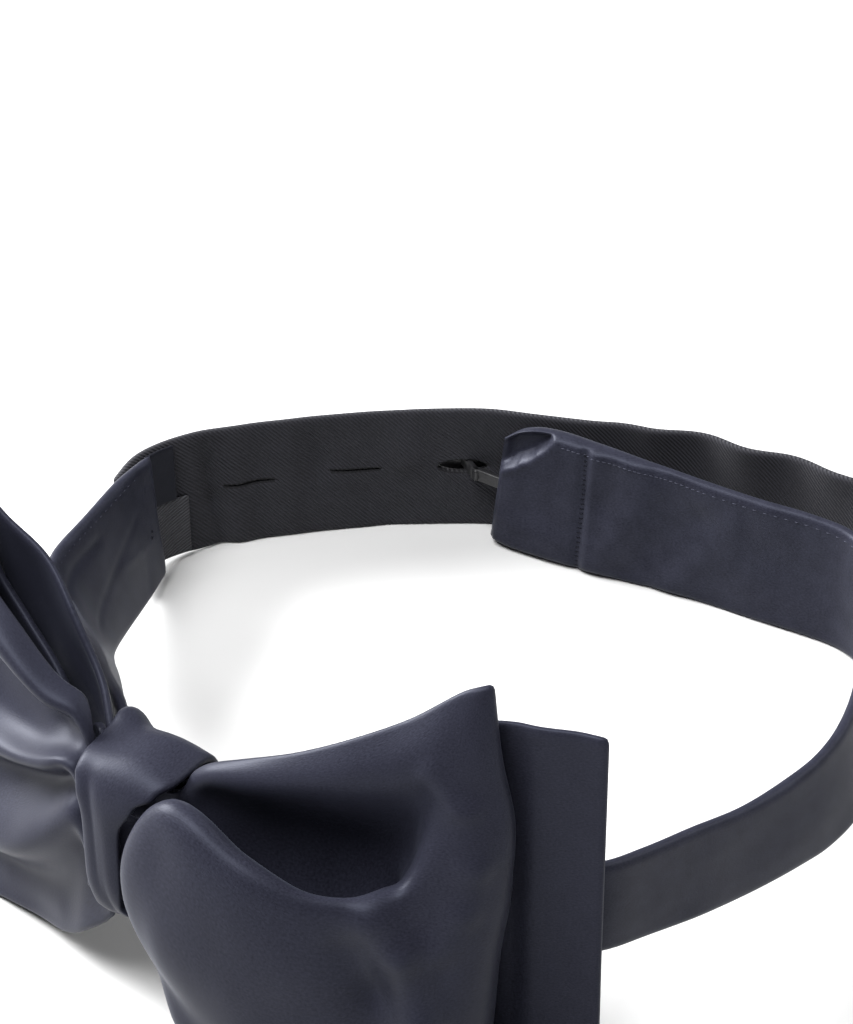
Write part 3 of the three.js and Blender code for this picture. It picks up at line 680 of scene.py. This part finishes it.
def band_faces(rows, step, columns, lift):
    """Rows of places right round a flat band: up its outer face and down its inner one."""
    lows, uppers, thick = band_frame(rows, step)
    total = len(lows)
    run = 0.0
    found = []
    length = sum((b - a).length for a, b in zip(lows, lows[1:]))
    for i, low in enumerate(lows):
        rise = uppers[i] - low
        along = lows[min(i + 1, total - 1)] - lows[max(i - 1, 0)]
        normal = along.cross(rise).normalized()
        wide = rise.length
        run += (low - lows[i - 1]).length if i else 0
        closing = min(1, (min(run, length - run) / CLOSING_OVER) + CLOSED)
        ups = [share * BAND_RIM for share in EDGE_PLACES]
        ups += [lerp(BAND_RIM, wide - BAND_RIM, k / columns) for k in range(columns + 1)]
        ups += [wide - share * BAND_RIM for share in reversed(EDGE_PLACES)]
        row = []
        for side in (1, -1):
            for up in ups if side > 0 else ups[::-1]:
                edge = min(1, min(up, wide - up) / BAND_RIM)
                half = thick[i] / 2 * closing * math.sqrt(max(0, 1 - (1 - edge) ** 2))
                half += lift(low + rise * (up / wide), run, side) * edge * closing
                row.append(low + rise * (up / wide) + normal * half * side)
        found.append(row)
    return found


# Creases of the strap beside the bow's left wing, along the strap and up, and where they stop.
STRAP_CREASES = (
    (20, 19, 52, 21, 0.7, -0.25), (8, 15, 30, 11, 0.5, -0.18),
    (5, 9, 16, 12, 0.6, 0.15), (3, 18, 9, 4, 0.6, -0.15),
)
CREASES_TO = 60
STRAP_END_FROM = 262
STRAP_SLACK = 0.3
STRAP_SLACK_FINE = (0.1, 0.12, 5)


def strap_lift(spot, run, side):
    """The strap's slack on both faces, and its creases and its folded end on the inner one."""
    along, up, through_cloth = STRAP_SLACK_FINE
    slack = STRAP_SLACK * noise.noise(Vector((run * along, spot.z * up, side * through_cloth)))
    slack += fold_rise(STRAP_CREASES, run, spot.z) if side < 0 and run < CREASES_TO else 0
    return slack + (strap_end(spot) if side < 0 and run > STRAP_END_FROM else 0)


strap_finish = satin_finish("strap_satin", (0.004, 0.004, 0.007, 1), (0.026, 0.027, 0.041, 1), 0.3)
strap_rows = band_faces(STRAP, STRAP_STEP, STRAP_COLUMNS, strap_lift)
# The folded end leans: its top is drawn back along the strap and its foot pushed out.
END_SHEAR = 2.4
END_SHEAR_REACH = 7
END_SHEAR_STILL = 0.25
BEHIND_NECK_Y = 100
strap_tip = strap_rows[-1][0].x
for row in strap_rows:
    near = max(0, 1 - (row[0].x - strap_tip) / END_SHEAR_REACH) if row[0].y > BEHIND_NECK_Y else 0
    for spot in row:
        spot.x += END_SHEAR * near * (spot.z / STRAP_FLAT_MM[0] - END_SHEAR_STILL)
neck_strap = grown(cloth_grid(strap_rows, False, 2 * STRAP_FLAT_MM[0]), "strap_satin", strap_finish)
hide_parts("neck_strap")


# The knot wrap: a short satin ribbon wound once round the middle of the bow, the rear ribbon and
# the strap, pulled tight and sewn behind. It pinches to a narrow pleated foot in front.
WRAP_WALL = 1.1
# How far inside the wrap's outline its inner ring lies.
WRAP_ROOM = 1.3
WRAP_DEPTH = 14.1
WRAP_HIGH = 22.6
WRAP_MIDDLE = (0.25, 26.7)
WRAP_AROUND = 72
WRAP_ACROSS = 14
WRAP_FLAT_MM = (12.7, 62)
# How square the ring is on its inside and its outside, as exponents of its superellipses.
WRAP_SQUARE = (6, 3.2)
# How the wrap crowns between its edges: its rise, the part of an arch that it takes and its bluntness.
WRAP_ARCH = {"rise": 0.75, "from": 0.03, "over": 0.9, "blunt": 0.7}


def ring_place(angle, depth, high, square):
    """A place on the wrap's ring: how far back and how high."""
    c = math.cos(angle)
    s = math.sin(angle)
    y = math.copysign(abs(c) ** (2 / square), c) * depth / 2
    z = math.copysign(abs(s) ** (2 / square), s) * high / 2
    return WRAP_MIDDLE[0] + y, WRAP_MIDDLE[1] + z


# Turns of the wrap, from its back over the top to the front and on underneath: degrees, left edge
# and right edge.
WRAP_TURNS = (
    (0, -6.5, 6.2), (45, -8.0, 6.2), (90, -7.2, 6.0), (125, -7.0, 4.6), (150, -6.4, 2.2),
    (180, -5.2, -0.2), (215, -4.4, -0.6), (245, -4.6, 0.6), (270, -5.4, 3.0), (315, -6.4, 6.0),
)


def wrap_edges(degrees):
    """The wrap's left and right edge at one turn."""
    turns = (*WRAP_TURNS, (360, *WRAP_TURNS[0][1:]))
    for before, after in zip(turns, turns[1:]):
        if before[0] <= degrees <= after[0]:
            share = (degrees - before[0]) / (after[0] - before[0])
            share = share * share * (3 - 2 * share)
            return [lerp(low, high, share) for low, high in zip(before[1:], after[1:])]


wrap_rows = []
for i in range(WRAP_AROUND):
    angle = 2 * math.pi * i / WRAP_AROUND
    inner = ring_place(angle, WRAP_DEPTH - 2 * WRAP_ROOM, WRAP_HIGH - 2 * WRAP_ROOM, WRAP_SQUARE[0])
    outer = ring_place(angle, WRAP_DEPTH, WRAP_HIGH, WRAP_SQUARE[1])
    left, right = wrap_edges(math.degrees(angle))
    row = []
    for k in range(WRAP_ACROSS + 1):
        share = k / WRAP_ACROSS
        arch = math.sin(math.pi * (WRAP_ARCH["from"] + WRAP_ARCH["over"] * share))
        lean = WRAP_ARCH["rise"] * arch ** WRAP_ARCH["blunt"]
        y = lerp(inner[0], outer[0], lean)
        z = lerp(inner[1], outer[1], lean)
        row.append(Vector((lerp(left, right, share), y, z)))
    wrap_rows.append(row)


# Each swell of the wrap: its turn, how far across, its width across and its rise.
WRAP_SWELLS = ((86, 1.0, 5.0, 0.9), (50, -6.8, 2.2, 2.2))
SWELL_TURN = 34
# Each crease: where it starts and stops across, its width and depth, and its first and last turn.
WRAP_CREASES = ((-5.0, -2.6, 0.8, 0.5, 120, 215), (-2.6, -1.2, 0.6, 0.25, 165, 250))
CREASE_FADE = 15


def wrap_lift(spot, along, across):
    """The wrap's swells on top, and its creases from the upper left down to the pinched foot."""
    degrees = 360 * along
    lift = 0
    for swell_at, swell_x, swell_wide, swell in WRAP_SWELLS:
        off = ((degrees - swell_at) / SWELL_TURN) ** 2 + ((spot.x - swell_x) / swell_wide) ** 2
        lift += swell * math.exp(-off)
    for start, stop, width, deep, first, last in WRAP_CREASES:
        turns = last - first
        run = min(1, max(0, (degrees - first) / turns))
        faded = min(1, max(0, (degrees - first + CREASE_FADE) / (turns + 2 * CREASE_FADE)))
        fade = math.sin(math.pi * faded)
        lift -= deep * fade * math.exp(-((spot.x - lerp(start, stop, run)) / width) ** 2)
    return lift


wrap_rows = pushed(wrap_rows, True, wrap_lift)
wrap_shape = cloth_grid(wrap_rows, True, WRAP_FLAT_MM[0])
knot_wrap = grown(wrap_shape, "wrap_satin", satin_finish("wrap_satin"), WRAP_WALL)
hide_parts("knot_wrap")


# The size tape: a matt twill tape woven with a row of slots, sewn behind the strap's left end.
# The hook holds it by one slot, and its free end lies outside the strap.
TAPE_THICK = 1.1
TAPE_STEP = 1.0
TAPE_FLAT_MM = (20, 120)
SLOT_LONG = 7.0
SLOT_HEM = 0.3
SLOT_PITCH = 15.8
SLOT_FIRST = 23.2
SLOT_COUNT = 6
SLOT_Z = 10.3
HOOKED_SLOT = 2
# A closed slot and the one that the hook holds open: how high it is, and how blunt its ends are.
CLOSED_SLOT = (0.1, 10)
OPEN_SLOT = (1.9, 2)
SLOT_ENDS = 0.96
# Each row: its place, the height of its lower edge, its width and how far it leans out at the top.
TAPE = (
    (-54.9, 68.8, 2.0, 17.6, 2.5), (-56.6, 74.8, 1.0, 18.8, 1.6), (-55.2, 81.6, 0.2, 19.8, 0.5),
    (-49.6, 89.2, 0, 20, 0.2), (-44.3, 94.8, 0, 20, 0), (-38.9, 99.9, 0, 20, 0), (-33.2, 104.7, 0, 20, 0),
    (-27.2, 109, 0, 20, 0), (-22, 112.2, 0, 20, 0), (-16, 114.4, 0, 20, 0), (-8, 117.2, 0, 20, 0.2),
    (0, 120.4, 0, 20, 0.3), (8, 122.6, 0, 20, 0.4), (16, 123.4, 0, 20, 0.3), (24, 124.6, 0, 20, 0.2),
    (31, 124.2, 0, 20, 0), (37, 122.6, 0, 20, 0),
)


def twill_finish(name):
    """Matt twill tape: fine diagonal ribs, and painted shade in a thin dark band round each slot."""
    twill = Finish(name)
    cloth = twill.cloth()
    along, across = twill.cloth_sides(cloth)
    ribs = twill.ribs((along + across) * 9.5)
    grain = twill.speckle(cloth, 3.6, 2.0)
    patches = twill.speckle(cloth, 0.25, 2.0)
    from_first = along - SLOT_FIRST
    beside = twill.node("ShaderNodeMath", {"operation": "PINGPONG"}, {0: from_first, 1: SLOT_PITCH / 2})
    above = twill.node("ShaderNodeMath", {"operation": "ABSOLUTE"}, {0: across - SLOT_Z})
    # Painted shade: a thin band round each slot is darkened in the colour, standing in for the shadow in
    # the slit.
    first_bound = SLOT_FIRST - SLOT_PITCH / 2
    slot_shade = along.below(first_bound + SLOT_COUNT * SLOT_PITCH) * (1 - along.below(first_bound))
    slot_shade = slot_shade * beside.below(SLOT_LONG / 2 + 0.2) * above.below(SLOT_HEM + 0.1)
    tone = (ribs * 0.5 + grain * 0.25 + patches * 0.25) * (1 - slot_shade)
    twill.surface_takes({
        "Base Color": twill.mixed(tone, (0.003, 0.003, 0.005, 1), (0.024, 0.024, 0.032, 1)),
        "Roughness": 0.7 + grain * 0.15,
        "Normal": twill.relief(ribs, 0.00009, twill.relief(grain, 0.00005)),
        "Sheen Weight": 0.05,
        "Sheen Roughness": 0.5,
        "Specular IOR Level": 0.3,
    })
    return twill.material


tape_twill = twill_finish("tape_twill")
# Places along the tape's two edges, close enough to find any spot on it.
TAPE_FINE = 0.1
tape_lows, tape_uppers, _ = band_frame([(*row, TAPE_THICK) for row in TAPE], TAPE_FINE)
tape_run = [0.0]
for before, after in zip(tape_lows, tape_lows[1:]):
    tape_run.append(tape_run[-1] + (after - before).length)


def tape_stops():
    """Places along the tape: both ends of every slot, and even steps between them."""
    marks = [0.0]
    for k in range(SLOT_COUNT):
        middle = SLOT_FIRST + k * SLOT_PITCH
        marks += [middle - SLOT_LONG / 2, middle + SLOT_LONG / 2]
    marks.append(tape_run[-1])
    stops = []
    for start, stop in zip(marks, marks[1:]):
        parts = max(1, round((stop - start) / TAPE_STEP))
        stops += [lerp(start, stop, k / parts) for k in range(parts)]
    return stops + [marks[-1]]


def tape_frame(stop):
    """The tape at one place along it: its lower edge, the way up to its upper one, and the way in."""
    i = min(range(len(tape_run)), key=lambda n: abs(tape_run[n] - stop))
    rise = tape_uppers[i] - tape_lows[i]
    along = tape_lows[min(i + 1, len(tape_lows) - 1)] - tape_lows[max(i - 1, 0)]
    return tape_lows[i], rise, along.cross(rise).normalized()


def tape_slot(run):
    """Which slot a place along the tape lies in, and how far from its middle, from -1 to 1."""
    number = round((run - SLOT_FIRST) / SLOT_PITCH)
    off = (run - SLOT_FIRST - number * SLOT_PITCH) / (SLOT_LONG / 2)
    return (number, off) if 0 <= number < SLOT_COUNT and abs(off) <= 1.001 else (None, 0)


# How many rows there are on each side of the slots.
TAPE_SIDE = 9
# Soft dents of the tape, along it and up, in the bow folds' columns.
TAPE_FOLDS = (
    (16.4, 20, 18.0, 8, 1.4, -1.0), (18.0, 8, 19.0, 0, 1.4, -0.6), (20.8, 19, 21.6, 2, 1.8, 0.6),
    (32, 20, 34, 12, 2.2, -0.8), (28, 17, 29, 4, 2.4, 0.5), (45, 20, 47, 12, 2.4, 0.8),
    (40, 6, 44, 2, 2.2, -0.4), (13.6, 20, 14.4, 1, 0.8, 0.35),
)
DENTS_FADE = 3
# The waves of the tape's free end: how far they swing at the top, where they start and how fast,
# and where one of them crests and how long each is.
WAVES = {"rise": 0.5, "start": 74, "over": 8, "crest": 83, "long": 13.5}


def tape_dent(stop, up):
    """How far the tape lies in from its plain path: its dents, and its free end's waves."""
    dents = fold_rise(TAPE_FOLDS, stop, TAPE_FLAT_MM[0] * up) * min(1, DENTS_FADE * (1 - up))
    waves = WAVES["rise"] * starting(WAVES, stop)
    waves *= math.cos(2 * math.pi * (stop - WAVES["crest"]) / WAVES["long"])
    return dents + waves * up * up


tape_stop_list = tape_stops()
tape_rows = []
for stop in tape_stop_list:
    low, rise, inward = tape_frame(stop)
    number, off = tape_slot(stop)
    high, blunt = OPEN_SLOT if number == HOOKED_SLOT else CLOSED_SLOT
    half = high / 2 * math.sqrt(max(0, 1 - (SLOT_ENDS * off) ** blunt))
    middle = SLOT_Z / TAPE_FLAT_MM[0]
    lip = half / TAPE_FLAT_MM[0]
    hem = (half + SLOT_HEM) / TAPE_FLAT_MM[0]
    ups = [lerp(0, middle - hem, k / (TAPE_SIDE - 1)) for k in range(TAPE_SIDE)]
    ups += [middle - lip, middle, middle + lip]
    ups += [lerp(middle + hem, 1, k / (TAPE_SIDE - 1)) for k in range(TAPE_SIDE)]
    tape_rows.append([low + rise * up + inward * tape_dent(stop, up) for up in ups])


def tape_keeps(i, j):
    """All of the tape but the middles of its slots."""
    number, off = tape_slot(tape_stop_list[i])
    return not (j == TAPE_SIDE + 1 and number is not None and abs(off) < 0.999)


tape_shape = cloth_grid(tape_rows, False, TAPE_FLAT_MM[0], tape_keeps, tape_stop_list)
size_tape = grown(tape_shape, "tape_twill", tape_twill, TAPE_THICK)
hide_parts("size_tape")


# The tape's sewn end: a coarse woven tail is turned up over the tape beside the strap's end, and
# a smooth tab of satin is tucked over it. Both lie on the tape's inner face.
def rib_finish(name):
    """Grosgrain: coarse ribs that climb along the tape."""
    grosgrain = Finish(name)
    along, across = grosgrain.cloth_sides(grosgrain.cloth())
    ribs = grosgrain.ribs((across - along * 0.45) * 12.0)
    grosgrain.surface_takes({
        "Base Color": grosgrain.mixed(ribs, (0.004, 0.004, 0.006, 1), (0.040, 0.041, 0.050, 1)),
        "Roughness": 0.65,
        "Normal": grosgrain.relief(ribs, 0.0001),
    })
    return grosgrain.material


turnup_rib = rib_finish("turnup_rib")
tab_satin = satin_finish("tab_satin", (0.003, 0.003, 0.004, 1), (0.010, 0.010, 0.014, 1))
# Each patch: its name and finish, its first and last place along the tape, its foot and top, how
# far it stands in from the tape's middle, and its slot.
PATCHES = (
    ("tape_turnup", turnup_rib, 6.3, 13.6, 0.6, 10.4, 1.0, "twill_tape"),
    ("tape_tab", tab_satin, 6.3, 11.5, 10.2, 19.6, 1.1, "satin"),
)
PATCH_WALL = 0.5
PATCH_STEPS = (12, 16)
for patch_name, patch_finish, first, last, foot, top, stand, patch_slot in PATCHES:
    patch_rows = []
    for i in range(PATCH_STEPS[0] + 1):
        low, rise, inward = tape_frame(lerp(first, last, i / PATCH_STEPS[0]))
        row = []
        for j in range(PATCH_STEPS[1] + 1):
            up = lerp(foot, top, j / PATCH_STEPS[1])
            row.append(low + rise * (up / TAPE_FLAT_MM[0]) + inward * stand)
        patch_rows.append(row)
    patch = grown(cloth_grid(patch_rows, False, top - foot), patch_name, patch_finish, PATCH_WALL)


# The stitches: a doubled seam of charcoal thread holds the strap's folded end, and a fine run of
# stitches keeps its fold closed along the upper edge.
seam_thread = satin_finish("seam_thread", (0.002, 0.002, 0.004, 1), (0.008, 0.008, 0.012, 1))
edge_thread = satin_finish("edge_thread", (0.020, 0.021, 0.032, 1), (0.050, 0.052, 0.072, 1))


def stitches(name, places, long, thick, thread):
    """Short stitches laid on a piece: each place is a spot, the way along the seam and the way out."""
    shape = bmesh.new()
    for spot, along, out in places:
        made = bmesh.ops.create_icosphere(shape, subdivisions=1, radius=1)
        side = out.cross(along).normalized()
        turn = Matrix((along, side, along.cross(side))).transposed().to_4x4()
        size = Matrix.Diagonal((long / 2 * MM, thick / 2 * MM, thick / 2 * MM, 1))
        bmesh.ops.transform(shape, matrix=Matrix.Translation(spot) @ turn @ size, verts=made["verts"])
    grown(shape, name, thread, levels=0)


depsgraph = bpy.context.evaluated_depsgraph_get()
strap_now = neck_strap.evaluated_get(depsgraph)


def stitch_on_strap(start, inward, along):
    """The place of one stitch, where a line from the neck's side meets the strap, if it does."""
    hit, spot, out, _ = strap_now.ray_cast(start, inward)
    return [(spot, along, out)] if hit else []


# The seam's stitches: how many, between which heights, how they lie, their length and thickness.
SEAM_COUNT = 24
SEAM_UP = (1.0, 19.6)
SEAM_LIE = Vector((1, 0.09, 0.2)).normalized()
SEAM_STITCH = (0.95, 0.28)
INSIDE_NECK_Y = 95
seam_places = []
for k in range(SEAM_COUNT):
    up = lerp(*SEAM_UP, k / (SEAM_COUNT - 1))
    seam_x = lerp(END_SEAM[1], END_SEAM[0], up / STRAP_FLAT_MM[0])
    seam_places += stitch_on_strap(placed((seam_x, INSIDE_NECK_Y, up)), Vector((0, 1, 0)), SEAM_LIE)
# The dark tack that holds the strap's other end to the tape: its two places and how they lie.
TACKS = ((-53.0, 70.5, 9.5), (-52.9, 70.7, 10.3))
TACK_LIE = Vector((0.2, 0.3, 0.93)).normalized()
TACK_FROM = Vector((4, -2, 0)) * MM
for tack in TACKS:
    seam_places += stitch_on_strap(placed(tack) + TACK_FROM, Vector((-2, 1, 0)).normalized(), TACK_LIE)
stitches("end_stitches", seam_places, *SEAM_STITCH, seam_thread)
# The edge's stitches: their pitch is two steps along the strap, short of both its ends.
EDGE_STEP = 0.8
EDGE_FIRST = 8
EDGE_SHORT_OF_END = 30
EDGE_BELOW_TOP = 1.3
EDGE_STITCH = (0.8, 0.16)
FROM_NECK = 4
edge_places = []
strap_lows, strap_uppers, _ = band_frame(STRAP, EDGE_STEP)
for i in range(EDGE_FIRST, len(strap_lows) - EDGE_SHORT_OF_END, 2):
    along = (strap_lows[i + 1] - strap_lows[i - 1]).normalized()
    rise = strap_uppers[i] - strap_lows[i]
    inward = -along.cross(rise).normalized()
    start = placed(strap_uppers[i] - rise.normalized() * EDGE_BELOW_TOP + inward * FROM_NECK)
    edge_places += stitch_on_strap(start, -inward, along)
stitches("edge_stitches", edge_places, *EDGE_STITCH, edge_thread)


# The hook: a flat strip of steel stamped to an H and coated black. Its bar lies in the strap's
# folded end, its neck goes through a slot of the tape, and its head bears on the tape outside.
hook_coat = Finish("hook_coat")
hook_grain = hook_coat.speckle(hook_coat.node("ShaderNodeTexCoord", output=3), 2500.0)
hook_coat.surface_takes({
    "Base Color": hook_coat.mixed(hook_grain, (0.006, 0.006, 0.007, 1), (0.018, 0.018, 0.02, 1)),
    "Roughness": 0.32 + hook_grain * 0.15,
    "Metallic": 0.0,
    "Normal": hook_coat.relief(hook_grain, 0.00002),
})
# Each part of the strip: its size along, through and up, its place, and its turn in degrees.
HOOK_PARTS = (
    ((2.2, 1, 8), (-16.4, 108.8), 0), ((7.5, 0.9, 1.9), (-19.8, 109.0), -3),
    ((5.6, 0.9, 1.9), (-24.35, 110.13), -34), ((8.6, 0.9, 9), (-26.3, 111.6), 31.6),
)
# The corners are rounded by a share of each part's smaller side, and all rims a little.
HOOK_CORNER = 0.42
HOOK_RIM = 0.18
# A rim turns by more than this, in radians.
SHARP = 1
hook_shape = bmesh.new()
for (long, thick, high), (x, y), degrees in HOOK_PARTS:
    made = bmesh.ops.create_cube(hook_shape, size=1)
    turn = Matrix.Rotation(math.radians(degrees), 4, "Z")
    size = Matrix.Diagonal((long * MM, thick * MM, high * MM, 1))
    place = Matrix.Translation(placed((x, y, SLOT_Z)))
    edges = dict.fromkeys(edge for vertex in made["verts"] for edge in vertex.link_edges)
    corners = [edge for edge in edges if edge.verts[0].co.y * edge.verts[1].co.y < 0]
    bmesh.ops.transform(hook_shape, matrix=place @ turn @ size, verts=made["verts"])
    bmesh.ops.bevel(
        hook_shape, geom=corners, offset=HOOK_CORNER * min(long, high) / 2 * MM, segments=4,
        profile=0.5, affect="EDGES", material=-1,
    )
rims = [edge for edge in hook_shape.edges if edge.calc_face_angle() > SHARP]
bmesh.ops.bevel(
    hook_shape, geom=rims, offset=HOOK_RIM * MM, segments=2, profile=0.5, affect="EDGES", material=-1,
)
neck_hook = grown(hook_shape, "flat_hook", hook_coat.material, levels=0)
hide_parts("neck_hook")
